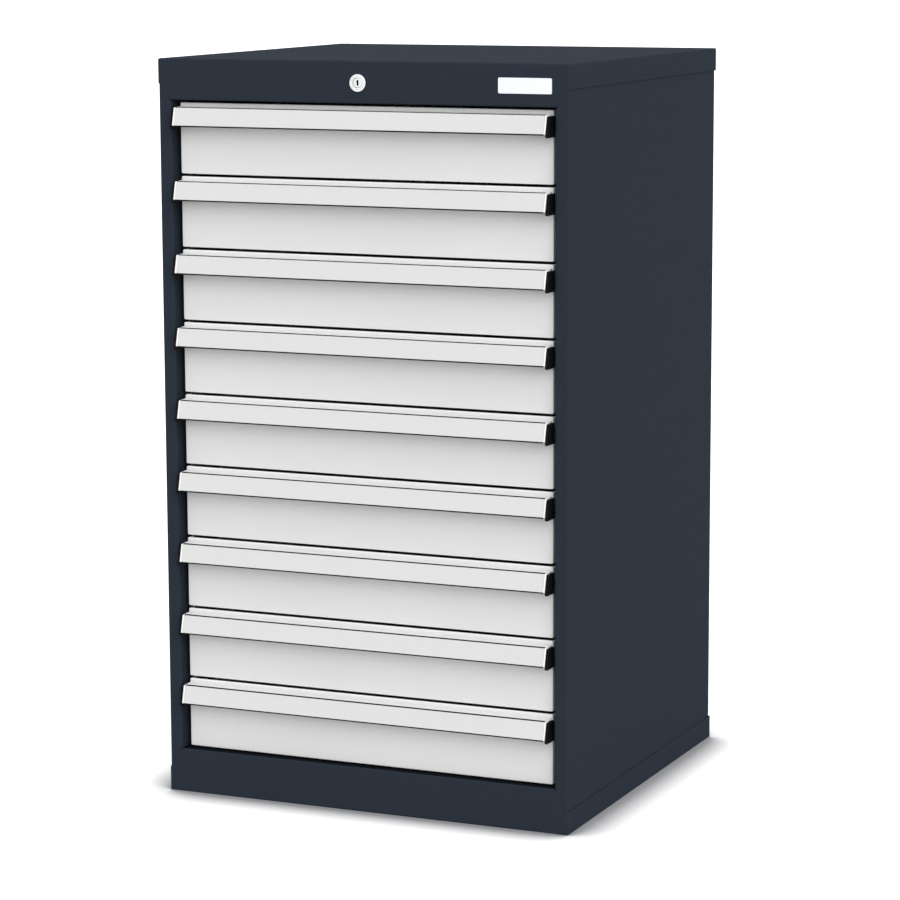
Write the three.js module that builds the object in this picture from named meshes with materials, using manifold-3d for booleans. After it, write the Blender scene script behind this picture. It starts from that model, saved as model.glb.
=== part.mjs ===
import * as THREE from 'three';
import { mergeVertices } from 'three/addons/utils/BufferGeometryUtils.js';
import { RoundedBoxGeometry } from 'three/addons/geometries/RoundedBoxGeometry.js';
import Module from 'manifold-3d';

const wasm = await Module();
wasm.setup();

// An industrial drawer cabinet: a folded steel housing with nine full-extension drawers,
// each with a full-width handle, and one central lock behind the header.
// Millimetres, +Z up, the front towards -Y, the origin on the floor in the middle of the box.

// Overall sizes
const cabinetWidth = 600;
const cabinetHeight = 1020;
const bodyDepth = 575;
const handleReach = 15;
const drawerCount = 9;

// Housing sheets and folds
const housingSheet = 1.2;
const backSheet = 1.0;
const foldRadius = 2.4;
const foldSteps = 3;
const headerHeight = 56;
const plinthHeight = 62;
const sideLipHeight = 32;
const stileWidth = 20;
const frameReturn = 16;
const backFlange = 18;

// Clearances
const seatGap = 0.3;
const mitreGap = 0.4;
const runningGap = 0.4;
const drawerGap = 3.6;
const plinthGap = 2;
const frontSideGap = 7.3;
const cutOverrun = 5;

// Drawer front: a shallow folded pan
const frontRecess = 12;
const frontDepth = 18;
const frontSheet = 1.2;
const frontRadius = 1.8;
const frontFlange = 14;

// Handle: a folded profile as wide as the front
const handleSheet = 2;
const handleRadius = 2.6;
const handleEndInset = 1.5;
const ledgeDrop = 5;
const ledgeFall = 0.8;
const creaseReach = 8.8;
const lipDrop = 30.6;
const handleFlangeDrop = 25;

// Drawer tray
const traySheet = 1;
const trayTopDrop = 14;
const trayBottomDrop = 92;
const trayBackRoom = 12;
const hemWidth = 3;
const hemHeight = 3;

// Telescopic slides: a fixed rail, a middle member and a rail on the tray, nested in each other
const slideThickness = 13.3;
const slideLength = 500;
const slideStart = 2;
const slideDrop = 64;
const railSheet = 1.2;
const trayRailHeight = 28;
const trayRailDepth = 8.5;
const middleFlange = 3;
const middleDepth = 8.5;
const middleSetback = 2;
const middleEdge = 0.6;
const fixedRailDepth = 9.3;

// Inner walls, and the frames of fixed rails that they carry
const wallSheet = 1.2;
const wallSetback = 2;
const strapWidth = 25;
const strapInset = 7;

// Lock in the header
const lockDrop = 28.5;
const lockSides = 24;
const collarRadius = 11.8;
const collarThickness = 2.4;
const collarEdge = 0.6;
const barrelRadius = 9.5;
const barrelLength = 15;
const plugRadius = 6.4;
const plugRecess = 0.5;
const plugTail = 5;
const plugTailWidth = 7;
const keywayWidth = 2;
const keywayHeight = 7;
const keywayDepth = 12;
const nutWidth = 27;
const nutThickness = 5;
const nutSides = 6;

// Cam, pin and lock bar
const camRadius = 8;
const camThickness = 3;
const camPinThrow = 10;
const camPinRadius = 2.5;
const camEndRadius = 5;
const camTurn = Math.PI / 2;
const camSteps = 8;
const barThickness = 2.5;
const barWidth = 20;
const barSetback = 28;
const barSideRoom = 7;
const barFootHeight = 90;
const armEnd = 8;
const tabWidth = 10;
const tabHeight = 10;
const tabSetback = 5;
const tabReach = 20.5;
const catchReach = 6;
const catchThickness = 4;
const catchHeight = 10;
const catchDrop = 19;
const catchGap = 2;
const tabDrop = 32;

// Blank plate on the header
const plateWidth = 75;
const plateHeight = 20.5;
const plateThickness = 1.2;
const plateRadius = 2;
const plateEndInset = 24.5;

// Places worked out from the sizes
const halfWidth = cabinetWidth / 2;
const frontY = handleReach - (bodyDepth + handleReach) / 2;
const backY = frontY + bodyDepth;
const openHalf = halfWidth - stileWidth;
const openTop = cabinetHeight - headerHeight;
const openBottom = plinthHeight;
const drawerPitch = (openTop - openBottom - plinthGap) / drawerCount;
const frontHeight = drawerPitch - drawerGap;
const frontHalf = openHalf - frontSideGap;
const frontFaceY = frontY + frontRecess;
const frontBackY = frontFaceY + frontDepth;
const sideOuter = halfWidth - housingSheet - seatGap;
const sideInner = sideOuter - housingSheet;
const backPanelY = backY - housingSheet - seatGap - backSheet;
const sideBackY = backPanelY - seatGap;
const sheetStart = foldRadius + seatGap;
const wallX = openHalf + seatGap;
const wallFrontY = frontY + frameReturn + wallSetback;
const wallBackY = sideBackY - housingSheet - seatGap;
const trayHalf = wallX - slideThickness;
const trayFrontY = frontBackY + seatGap;
const trayBackY = sideBackY - trayBackRoom;
const slideFrontY = frontBackY + slideStart;
const slideBackY = slideFrontY + slideLength;
const trayRailHalf = trayRailHeight / 2;
const middleInnerHalf = trayRailHalf + runningGap;
const middleOuterHalf = middleInnerHalf + middleFlange;
const fixedInnerHalf = middleOuterHalf + runningGap;
const fixedOuterHalf = fixedInnerHalf + railSheet;
const lockHeight = cabinetHeight - lockDrop;
const camPinSide = camPinThrow * Math.cos(camTurn / 2);
const camPinDrop = camPinThrow * Math.sin(camTurn / 2);
const lockLift = 2 * camPinDrop;
const barX = wallX + barSideRoom;
const barY = frontY + barSetback;
const armHeight = lockHeight - camPinDrop;
const tabY = barY + tabSetback;
const catchY = tabY + tabWidth + catchGap;
const plateCentreX = halfWidth - plateEndInset - plateWidth / 2;

// Materials
function paintedSteel(color, roughness) {
  return new THREE.MeshStandardMaterial({ color, roughness, metalness: 0.1 });
}

function bareMetal(color, roughness) {
  return new THREE.MeshStandardMaterial({ color, roughness, metalness: 0.9 });
}

const anthracitePaint = () => paintedSteel(0x2d333b, 0.55);
const lightGreyPaint = () => paintedSteel(0xd8dada, 0.5);
const handlePaint = () => paintedSteel(0xe3e4e4, 0.4);
const zincSteel = () => bareMetal(0xa9adb0, 0.45);
const chrome = () => bareMetal(0xdfe2e5, 0.15);
const paleMetal = () => bareMetal(0xd5dade, 0.35);

// Solids and outlines
function solid(geometry) {
  geometry.deleteAttribute('normal');
  geometry.deleteAttribute('uv');
  const merged = mergeVertices(geometry);
  const vertProperties = new Float32Array(merged.attributes.position.array);
  const triVerts = new Uint32Array(merged.index.array);
  return new wasm.Manifold(new wasm.Mesh({ numProp: 3, vertProperties, triVerts }));
}

function meshOf(body, name, material) {
  const { vertProperties, triVerts, numProp } = body.getMesh();
  const geometry = new THREE.BufferGeometry();
  const positions = new Float32Array(vertProperties);
  geometry.setAttribute('position', new THREE.BufferAttribute(positions, numProp));
  geometry.setIndex(new THREE.BufferAttribute(new Uint32Array(triVerts), 1));
  geometry.computeVertexNormals();
  const mesh = new THREE.Mesh(geometry, material);
  mesh.name = name;
  return mesh;
}

function block(low, high) {
  const size = high.map((value, axis) => value - low[axis]);
  const middle = high.map((value, axis) => (value + low[axis]) / 2);
  return solid(new THREE.BoxGeometry(...size).translate(...middle));
}

function roundedBlock(low, high, radius) {
  const size = high.map((value, axis) => value - low[axis]);
  const middle = high.map((value, axis) => (value + low[axis]) / 2);
  const segments = 2;
  return solid(new RoundedBoxGeometry(...size, segments, radius).translate(...middle));
}

// An outline drawn on the plane across an axis, pushed along that axis from start to end.
// Across X it is drawn as [y, z], across Y as [x, z] and across Z as [x, y].
function prism(outline, axis, start, end) {
  const flip = axis === 'y';
  const shape = new THREE.Shape(outline.map(([u, v]) => new THREE.Vector2(flip ? v : u, flip ? u : v)));
  const geometry = new THREE.ExtrudeGeometry(shape, { depth: end - start, bevelEnabled: false });
  geometry.translate(0, 0, start);
  const alongX = new THREE.Vector3(1, 0, 0);
  const alongY = new THREE.Vector3(0, 1, 0);
  const alongZ = new THREE.Vector3(0, 0, 1);
  const bases = { x: [alongY, alongZ, alongX], y: [alongZ, alongX, alongY], z: [alongX, alongY, alongZ] };
  return solid(geometry.applyMatrix4(new THREE.Matrix4().makeBasis(...bases[axis])));
}

function cylinderAlongY(radius, startY, endY, sides) {
  const geometry = new THREE.CylinderGeometry(radius, radius, endY - startY, sides);
  return solid(geometry.translate(0, (startY + endY) / 2, 0));
}

function latheAlongY(points, sides) {
  const profile = points.map(([radius, y]) => new THREE.Vector2(radius, y));
  return solid(new THREE.LatheGeometry(profile, sides));
}

function joined(bodies) {
  return bodies.reduce((whole, body) => whole.add(body));
}

function mirroredX(body) {
  return body.mirror([1, 0, 0]);
}

// The outline of a sheet folded along a run of corners. The corners lie on one face of the
// sheet, the sheet lies on their left, and every fold is rounded.
function foldedSheet(corners, thickness, radius) {
  const points = corners.map(([u, v]) => new THREE.Vector2(u, v));
  const ways = points.slice(1).map((point, index) => point.clone().sub(points[index]).normalize());
  const leftOf = (way) => new THREE.Vector2(-way.y, way.x);
  const middleRadius = radius - thickness / 2;
  const middle = points.map((point, index) => {
    const before = leftOf(ways[Math.max(index - 1, 0)]);
    const after = leftOf(ways[Math.min(index, ways.length - 1)]);
    const mitre = before.clone().add(after).normalize();
    return point.clone().addScaledVector(mitre, thickness / 2 / mitre.dot(after));
  });
  const layer = [{ point: middle[0], left: leftOf(ways[0]) }];
  for (let index = 1; index < points.length - 1; index += 1) {
    const before = ways[index - 1];
    const bend = Math.atan2(before.cross(ways[index]), before.dot(ways[index]));
    const side = Math.sign(bend);
    const setback = middleRadius * Math.tan(Math.abs(bend) / 2);
    const start = middle[index].clone().addScaledVector(before, -setback);
    const centre = start.clone().addScaledVector(leftOf(before), side * middleRadius);
    for (let step = 0; step <= foldSteps; step += 1) {
      const left = leftOf(before).rotateAround(new THREE.Vector2(), (bend * step) / foldSteps);
      layer.push({ point: centre.clone().addScaledVector(left, -side * middleRadius), left });
    }
  }
  layer.push({ point: middle[middle.length - 1], left: leftOf(ways[ways.length - 1]) });
  const offset = ({ point, left }, distance) => point.clone().addScaledVector(left, distance).toArray();
  const right = layer.map((entry) => offset(entry, -thickness / 2));
  const far = layer.map((entry) => offset(entry, thickness / 2)).reverse();
  return [...right, ...far];
}

// Housing

// A folded pan that lies on its sheet: low lips at the sides and back, and an apron at the
// front that closes the frame. The apron's upper corners are mitred to meet the stiles.
function housingPan(apronHeight) {
  const top = apronHeight + foldRadius;
  const outer = roundedBlock([-halfWidth, frontY, 0], [halfWidth, backY, 2 * top], foldRadius);
  const inside = roundedBlock(
    [housingSheet - halfWidth, frontY + housingSheet, housingSheet],
    [halfWidth - housingSheet, backY - housingSheet, 2 * top],
    foldRadius - housingSheet,
  );
  const farX = halfWidth + cutOverrun;
  const farZ = 2 * top + cutOverrun;
  const overApron = block([-farX, frontY - cutOverrun, apronHeight], [farX, backY + cutOverrun, farZ]);
  const overLips = block([-farX, frontY + housingSheet, sideLipHeight], [farX, backY + cutOverrun, farZ]);
  const mitre = prism(
    [
      [halfWidth, sideLipHeight],
      [openHalf, apronHeight],
      [openHalf, farZ],
      [farX, farZ],
      [farX, sideLipHeight],
    ],
    'y',
    frontY - cutOverrun,
    frontY + housingSheet + cutOverrun,
  );
  const returnHalf = openHalf - seatGap;
  const foldStart = apronHeight - foldRadius - housingSheet;
  const foldRoom = block(
    [-returnHalf, frontY - cutOverrun, foldStart + housingSheet / 2],
    [returnHalf, frontY + housingSheet, farZ],
  );
  const fold = prism(
    foldedSheet(
      [
        [frontY + frameReturn, apronHeight],
        [frontY, apronHeight],
        [frontY, foldStart],
      ],
      housingSheet,
      foldRadius,
    ),
    'x',
    -returnHalf,
    returnHalf,
  );
  return outer
    .subtract(inside)
    .subtract(overApron)
    .subtract(overLips)
    .subtract(mitre)
    .subtract(mirroredX(mitre))
    .subtract(foldRoom)
    .add(fold);
}

function basePan() {
  return housingPan(plinthHeight);
}

function topCover() {
  const pan = housingPan(headerHeight).rotate([0, 180, 0]).translate([0, 0, cabinetHeight]);
  const lockHole = cylinderAlongY(
    barrelRadius + seatGap,
    frontY - cutOverrun,
    frontY + housingSheet + cutOverrun,
    lockSides,
  ).translate([0, 0, lockHeight]);
  return pan.subtract(lockHole);
}

// The room that a pan's apron takes at one end of a stile, with the mitre between them.
function stileEndCut(openEdge, lipEdge, farEdge) {
  return prism(
    [
      [openHalf, openEdge],
      [halfWidth, lipEdge],
      [halfWidth + cutOverrun, lipEdge],
      [halfWidth + cutOverrun, farEdge],
      [openHalf - cutOverrun, farEdge],
      [openHalf - cutOverrun, openEdge],
    ],
    'y',
    frontY - cutOverrun,
    frontY + frameReturn + seatGap,
  );
}

// One side sheet, folded at the front into the stile and its return, and at the back
// into the flange that the back panel lies on.
function rightSidePanel() {
  const plan = foldedSheet(
    [
      [openHalf, frontY + frameReturn],
      [openHalf, frontY],
      [sideOuter, frontY],
      [sideOuter, sideBackY],
      [sideOuter - backFlange, sideBackY],
    ],
    housingSheet,
    foldRadius,
  );
  const sheet = prism(plan, 'z', sheetStart, cabinetHeight - sheetStart);
  const headCut = stileEndCut(
    openTop - mitreGap,
    cabinetHeight - sideLipHeight - mitreGap,
    cabinetHeight + cutOverrun,
  );
  const footCut = stileEndCut(openBottom + mitreGap, sideLipHeight + mitreGap, -cutOverrun);
  return sheet.subtract(headCut).subtract(footCut);
}

function backPanel() {
  return block(
    [-sideInner, backPanelY, sheetStart],
    [sideInner, backPanelY + backSheet, cabinetHeight - sheetStart],
  );
}

// Slides

function drawerTop(index) {
  return openTop - drawerGap - drawerPitch * index;
}

// A C-shaped rail of the right side. Its web stands at webX, its flanges reach to reachX.
function channelRail(webX, reachX, outerHalf, web, flange, height) {
  const innerX = webX + Math.sign(reachX - webX) * web;
  return prism(
    [
      [webX, height - outerHalf],
      [reachX, height - outerHalf],
      [reachX, height - outerHalf + flange],
      [innerX, height - outerHalf + flange],
      [innerX, height + outerHalf - flange],
      [reachX, height + outerHalf - flange],
      [reachX, height + outerHalf],
      [webX, height + outerHalf],
    ],
    'y',
    slideFrontY,
    slideBackY,
  );
}

// The middle member wraps the tray's rail and has chamfered flange edges, as its ball tracks do.
function rightMiddleMember(index) {
  const height = drawerTop(index) - slideDrop;
  const reachX = trayHalf + middleSetback;
  const webX = reachX + middleDepth;
  const innerX = webX - railSheet;
  return prism(
    [
      [webX - middleEdge, height - middleOuterHalf],
      [reachX + middleEdge, height - middleOuterHalf],
      [reachX, height - middleOuterHalf + middleEdge],
      [reachX, height - middleInnerHalf - middleEdge],
      [reachX + middleEdge, height - middleInnerHalf],
      [innerX, height - middleInnerHalf],
      [innerX, height + middleInnerHalf],
      [reachX + middleEdge, height + middleInnerHalf],
      [reachX, height + middleInnerHalf + middleEdge],
      [reachX, height + middleOuterHalf - middleEdge],
      [reachX + middleEdge, height + middleOuterHalf],
      [webX - middleEdge, height + middleOuterHalf],
      [webX, height + middleOuterHalf - middleEdge],
      [webX, height - middleOuterHalf + middleEdge],
    ],
    'y',
    slideFrontY,
    slideBackY,
  );
}

// Inner walls

// A folded wall that stands on the base pan and reaches up to the top cover.
function rightWall() {
  const plan = foldedSheet(
    [
      [sideInner - foldRadius, wallBackY],
      [wallX, wallBackY],
      [wallX, wallFrontY],
      [sideInner - seatGap, wallFrontY],
    ],
    wallSheet,
    foldRadius,
  );
  return prism(plan, 'z', housingSheet + seatGap, cabinetHeight - housingSheet - seatGap);
}

// The nine fixed rails are welded to two straps, and this frame lies against the wall.
function rightRailFrame() {
  const webX = wallX - seatGap;
  const railHeights = Array.from({ length: drawerCount }, (_, index) => drawerTop(index) - slideDrop);
  const rails = railHeights.map((height) =>
    channelRail(webX, wallX - fixedRailDepth, fixedOuterHalf, railSheet, railSheet, height),
  );
  const straps = [tabY + tabWidth + strapInset, slideBackY - strapInset - strapWidth].map((strapY) =>
    block([webX - railSheet, strapY, railHeights.at(-1)], [webX, strapY + strapWidth, railHeights[0]]),
  );
  return joined([...rails, ...straps]);
}

// The right wall also has a notch for the lock's arm and a slot for each of its tabs.
function rightWallWithLockSlots() {
  const notchLow = armHeight - barWidth / 2 - runningGap;
  const cuts = [
    block(
      [wallX - cutOverrun, barY - runningGap, notchLow],
      [wallX + wallSheet + foldRadius, barY + barWidth + runningGap, cabinetHeight],
    ),
  ];
  for (let index = 0; index < drawerCount; index += 1) {
    const tabTop = drawerTop(index) - tabDrop;
    cuts.push(
      block(
        [wallX - cutOverrun, tabY - runningGap, tabTop - tabHeight - runningGap],
        [wallX + wallSheet + foldRadius, tabY + tabWidth + runningGap, tabTop + lockLift + runningGap],
      ),
    );
  }
  return cuts.reduce((body, cut) => body.subtract(cut), rightWall());
}

// Drawers

// The front's four returns are folded in again behind it, and the tray's front wall
// lies against these flanges.
function drawerFront(index) {
  const top = drawerTop(index);
  const bottom = top - frontHeight;
  const shell = roundedBlock(
    [-frontHalf, frontFaceY, bottom],
    [frontHalf, frontBackY + frontRadius + cutOverrun, top],
    frontRadius,
  );
  const inside = block(
    [frontSheet - frontHalf, frontFaceY + frontSheet, bottom + frontSheet],
    [frontHalf - frontSheet, frontBackY - frontSheet, top - frontSheet],
  );
  const mouth = block(
    [frontFlange - frontHalf, frontBackY - 2 * frontSheet, bottom + frontFlange],
    [frontHalf - frontFlange, frontBackY + cutOverrun, top - frontFlange],
  );
  const behind = block(
    [-halfWidth, frontBackY, bottom - cutOverrun],
    [halfWidth, frontBackY + frontDepth + cutOverrun, top + cutOverrun],
  );
  return shell.subtract(inside).subtract(mouth).subtract(behind);
}

// The handle hangs on the front: a flange against it, a ledge over the fingers and a
// sloping face that ends in the lip.
function drawerHandle(index) {
  const top = drawerTop(index);
  const flangeY = frontFaceY - seatGap;
  const outline = foldedSheet(
    [
      [flangeY, top - handleFlangeDrop],
      [flangeY, top - ledgeDrop],
      [frontY - creaseReach, top - ledgeDrop - ledgeFall],
      [frontY - handleReach, top - lipDrop],
    ],
    handleSheet,
    handleRadius,
  );
  return prism(outline, 'x', handleEndInset - frontHalf, frontHalf - handleEndInset);
}

function drawerTray(index) {
  const top = drawerTop(index) - trayTopDrop;
  const bottom = drawerTop(index) - trayBottomDrop;
  const box = block([-trayHalf, trayFrontY, bottom], [trayHalf, trayBackY, top]);
  const inside = block(
    [traySheet - trayHalf, trayFrontY + traySheet, bottom + traySheet],
    [trayHalf - traySheet, trayBackY - traySheet, top - hemHeight],
  );
  const mouth = block(
    [hemWidth - trayHalf, trayFrontY + hemWidth, top - hemHeight - traySheet],
    [trayHalf - hemWidth, trayBackY - hemWidth, top + cutOverrun],
  );
  const railHeight = drawerTop(index) - slideDrop;
  const rail = channelRail(
    trayHalf - traySheet / 2,
    trayHalf + trayRailDepth,
    trayRailHalf,
    traySheet / 2 + railSheet,
    railSheet,
    railHeight,
  );
  const catchTop = drawerTop(index) - catchDrop;
  const lockCatch = block(
    [trayHalf - traySheet / 2, catchY, catchTop - catchHeight],
    [trayHalf + catchReach, catchY + catchThickness, catchTop],
  );
  return box.subtract(inside).subtract(mouth).add(rail).add(mirroredX(rail)).add(lockCatch);
}

// Lock

function lockBarrel() {
  const faceY = frontY - seatGap - collarThickness;
  const bore = plugRadius + seatGap;
  const ring = [
    [bore, faceY],
    [collarRadius - collarEdge, faceY],
    [collarRadius, faceY + collarEdge],
    [collarRadius, frontY - seatGap],
    [barrelRadius, frontY - seatGap],
    [barrelRadius, frontY + barrelLength],
    [bore, frontY + barrelLength],
    [bore, faceY],
  ];
  return latheAlongY(ring, lockSides).translate([0, 0, lockHeight]);
}

function lockNut() {
  const nutY = frontY + housingSheet + seatGap;
  const nut = cylinderAlongY(nutWidth / 2, nutY, nutY + nutThickness, nutSides);
  const hole = cylinderAlongY(
    barrelRadius + seatGap,
    nutY - cutOverrun,
    nutY + nutThickness + cutOverrun,
    lockSides,
  );
  return nut.subtract(hole).translate([0, 0, lockHeight]);
}

function lockPlug() {
  const faceY = frontY - seatGap - collarThickness + plugRecess;
  const endY = frontY + barrelLength + seatGap;
  const half = plugTailWidth / 2;
  const plug = cylinderAlongY(plugRadius, faceY, endY, lockSides);
  const tail = block([-half, endY - seatGap, -half], [half, endY + plugTail, half]);
  const keyway = block(
    [-keywayWidth / 2, faceY - cutOverrun, -keywayHeight / 2],
    [keywayWidth / 2, faceY + keywayDepth, keywayHeight / 2],
  );
  return plug.subtract(keyway).add(tail).translate([0, 0, lockHeight]);
}

// The cam stands 45 degrees below level when the drawers are free, and its pin then
// holds the arm of the lock bar at its lowest place.
function lockCam() {
  const camY = frontY + barrelLength + 2 * seatGap;
  const rise = -camTurn / 2;
  const spread = Math.acos((camRadius - camEndRadius) / camPinThrow);
  const arc = (centre, radius, from, to) =>
    Array.from({ length: camSteps + 1 }, (_, step) => {
      const angle = from + ((to - from) * step) / camSteps;
      return [centre[0] + radius * Math.cos(angle), centre[1] + radius * Math.sin(angle)];
    });
  const pin = [camPinSide, -camPinDrop];
  const hub = arc([0, 0], camRadius, rise + spread, rise + 2 * Math.PI - spread);
  const end = arc(pin, camEndRadius, rise - spread, rise + spread);
  const plate = prism([...hub, ...end], 'y', camY, camY + camThickness);
  const half = plugTailWidth / 2 + seatGap;
  const eye = block([-half, camY - cutOverrun, -half], [half, camY + camThickness + cutOverrun, half]);
  const pinEndY = barY + barThickness + seatGap;
  const peg = cylinderAlongY(camPinRadius, camY + camThickness / 2, pinEndY, lockSides);
  return plate.subtract(eye).add(peg.translate([pin[0], 0, pin[1]])).translate([0, 0, lockHeight]);
}

// An arm behind the header joins the cam to a bar that runs down behind the right wall.
// Its tabs stand below the drawers' catches, and rise in front of them to lock.
function lockBar() {
  const armTop = armHeight + barWidth / 2;
  const outerX = barX + barThickness;
  const arm = block([-armEnd, barY, armTop - barWidth], [outerX, barY + barThickness, armTop]);
  const bar = block([barX, barY, barFootHeight], [outerX, barY + barWidth, armTop]);
  const tabs = [];
  for (let index = 0; index < drawerCount; index += 1) {
    const tabTop = drawerTop(index) - tabDrop;
    tabs.push(
      block([outerX - tabReach, tabY, tabTop - tabHeight], [outerX, tabY + tabWidth, tabTop]),
    );
  }
  const slotHalf = camPinRadius + runningGap;
  const slot = block(
    [camPinSide - slotHalf, barY - cutOverrun, armHeight - slotHalf],
    [camPinThrow + slotHalf, barY + barThickness + cutOverrun, armHeight + slotHalf],
  );
  return joined([bar, arm, ...tabs]).subtract(slot);
}

function blankPlate() {
  const backFaceY = frontY - seatGap;
  const plate = roundedBlock(
    [plateCentreX - plateWidth / 2, backFaceY - 2 * plateRadius, lockHeight - plateHeight / 2],
    [plateCentreX + plateWidth / 2, backFaceY + 2 * plateRadius, lockHeight + plateHeight / 2],
    plateRadius,
  );
  const slice = block(
    [plateCentreX - plateWidth, backFaceY - plateThickness, lockHeight - plateHeight],
    [plateCentreX + plateWidth, backFaceY, lockHeight + plateHeight],
  );
  return plate.intersect(slice);
}

// Assembly
const cabinet = new THREE.Group();

const housing = new THREE.Group();
housing.add(meshOf(basePan(), 'base_pan', anthracitePaint()));
housing.add(meshOf(topCover(), 'top_cover', anthracitePaint()));
housing.add(meshOf(rightSidePanel(), 'right_side_panel', anthracitePaint()));
housing.add(meshOf(mirroredX(rightSidePanel()), 'left_side_panel', anthracitePaint()));
housing.add(meshOf(backPanel(), 'back_panel', anthracitePaint()));
housing.add(meshOf(rightWallWithLockSlots(), 'right_runner_wall', anthracitePaint()));
housing.add(meshOf(mirroredX(rightWall()), 'left_runner_wall', anthracitePaint()));
housing.add(meshOf(rightRailFrame(), 'right_rail_frame', zincSteel()));
housing.add(meshOf(mirroredX(rightRailFrame()), 'left_rail_frame', zincSteel()));
housing.add(meshOf(blankPlate(), 'blank_plate', paleMetal()));
cabinet.add(housing);

const lock = new THREE.Group();
lock.add(meshOf(lockBarrel(), 'lock_barrel', chrome()));
lock.add(meshOf(lockNut(), 'lock_nut', zincSteel()));
lock.add(meshOf(lockPlug(), 'lock_plug', chrome()));
lock.add(meshOf(lockCam(), 'lock_cam', zincSteel()));
lock.add(meshOf(lockBar(), 'lock_bar', zincSteel()));
cabinet.add(lock);

for (let index = 0; index < drawerCount; index += 1) {
  const drawer = new THREE.Group();
  const name = `drawer_${index + 1}`;
  drawer.add(meshOf(drawerTray(index), `${name}_tray`, lightGreyPaint()));
  drawer.add(meshOf(drawerFront(index), `${name}_front`, lightGreyPaint()));
  drawer.add(meshOf(drawerHandle(index), `${name}_handle`, handlePaint()));
  drawer.add(meshOf(rightMiddleMember(index), `${name}_right_slide`, zincSteel()));
  drawer.add(meshOf(mirroredX(rightMiddleMember(index)), `${name}_left_slide`, zincSteel()));
  cabinet.add(drawer);
}

export default cabinet;
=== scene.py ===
import math

import bmesh
import bpy
from mathutils import Matrix, Vector


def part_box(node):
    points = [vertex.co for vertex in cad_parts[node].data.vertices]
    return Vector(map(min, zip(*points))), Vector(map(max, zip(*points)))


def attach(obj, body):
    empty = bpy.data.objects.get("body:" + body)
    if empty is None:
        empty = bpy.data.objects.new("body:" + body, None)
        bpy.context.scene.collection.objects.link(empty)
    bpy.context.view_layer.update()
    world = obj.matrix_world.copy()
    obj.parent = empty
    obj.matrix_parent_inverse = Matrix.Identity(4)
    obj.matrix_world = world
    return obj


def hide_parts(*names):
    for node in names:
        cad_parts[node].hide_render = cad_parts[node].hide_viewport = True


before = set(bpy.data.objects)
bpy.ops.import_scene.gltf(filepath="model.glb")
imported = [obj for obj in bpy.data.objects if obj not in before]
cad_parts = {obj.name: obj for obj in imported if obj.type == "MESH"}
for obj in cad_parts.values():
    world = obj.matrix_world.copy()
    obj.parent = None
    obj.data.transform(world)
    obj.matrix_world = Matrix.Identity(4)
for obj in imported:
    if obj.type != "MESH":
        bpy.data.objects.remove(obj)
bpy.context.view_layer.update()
scene = bpy.context.scene


# The photographer's camera: a long lens to the right of the front, a little above the top.
# It looks slightly down, and is turned a fifth of a degree on its own axis.
camera_place = Vector((1.8149, -4.1244, 1.1961))
camera_azimuth = math.radians(23.664)
camera_elevation = math.radians(9.289)
camera_roll = math.radians(-0.213)
camera_lens = 128.37

camera = bpy.data.objects.new("camera", bpy.data.cameras.new("camera"))
camera.data.lens = camera_lens
camera_turn = (
    Matrix.Rotation(camera_azimuth, 4, "Z")
    @ Matrix.Rotation(math.pi / 2 - camera_elevation, 4, "X")
    @ Matrix.Rotation(camera_roll, 4, "Z")
)
camera.matrix_world = Matrix.Translation(camera_place) @ camera_turn
scene.collection.objects.link(camera)
scene.camera = camera
scene.view_settings.view_transform = "Standard"


# The studio: a white room with a wide lamp low in front and a second one on the right. The
# floor looks white but returns half of its light, and an occlusion node darkens its colour and
# glow near the foot: a painted contact shadow.
room_light = 0.7
main_lamp = (1.7, math.radians(70), Vector((-0.4, 0.8, -0.45)))
side_lamp = (1.15, math.radians(90), Vector((-1.0, 0.1, -0.3)))
floor_reach = 60
floor_lift = 0.5
floor_return = (0.5, 0.5, 0.5, 1)
foot_reach = 0.08
foot_contrast = 2.3
foot_shade = (0.22, 0.22, 0.23, 1)
white = (1, 1, 1, 1)


class Socket:
    """A node's output that can stand in a sum, beside numbers and other outputs."""

    def __init__(self, graph, source):
        self.graph = graph
        self.source = source

    def worked(self, operation, other):
        return self.graph.node("ShaderNodeMath", {"operation": operation}, {0: self, 1: other})

    def __add__(self, other):
        return self.worked("ADD", other)

    def __sub__(self, other):
        return self.worked("SUBTRACT", other)

    def __mul__(self, other):
        return self.worked("MULTIPLY", other)

    __radd__ = __add__
    __rmul__ = __mul__


class Graph:
    """The nodes of one material, world or geometry tree."""

    def __init__(self, tree):
        self.tree = tree
        tree.nodes.clear()

    def node(self, kind, settings=None, inputs=None, output=0):
        made = self.tree.nodes.new(kind)
        for name, value in (settings or {}).items():
            setattr(made, name, value)
        for name, value in (inputs or {}).items():
            if isinstance(value, Socket):
                self.tree.links.new(value.source, made.inputs[name])
            else:
                made.inputs[name].default_value = value
        if made.outputs:
            return Socket(self, made.outputs[output])

    def blend(self, share, first, second):
        """The colour that lies this share of the way from the first to the second."""
        return self.node("ShaderNodeMix", {"data_type": "RGBA"},
                         {0: share, 6: first, 7: second}, output=2)

    def noise(self, place, scale, detail):
        return self.node("ShaderNodeTexNoise",
                         inputs={"Vector": place, "Scale": scale, "Detail": detail})

    def bump(self, height, distance, strength, **base):
        return self.node("ShaderNodeBump", inputs={
            "Strength": strength, "Distance": distance, "Height": height, **base,
        })

    def surface(self, inputs):
        """Makes a principled surface with these inputs what the material shows."""
        shader = self.node("ShaderNodeBsdfPrincipled", inputs=inputs)
        self.node("ShaderNodeOutputMaterial", inputs={"Surface": shader})


def new_material(name):
    """An empty material and its graph."""
    material = bpy.data.materials.new(name)
    material.use_nodes = True
    return material, Graph(material.node_tree)


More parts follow.
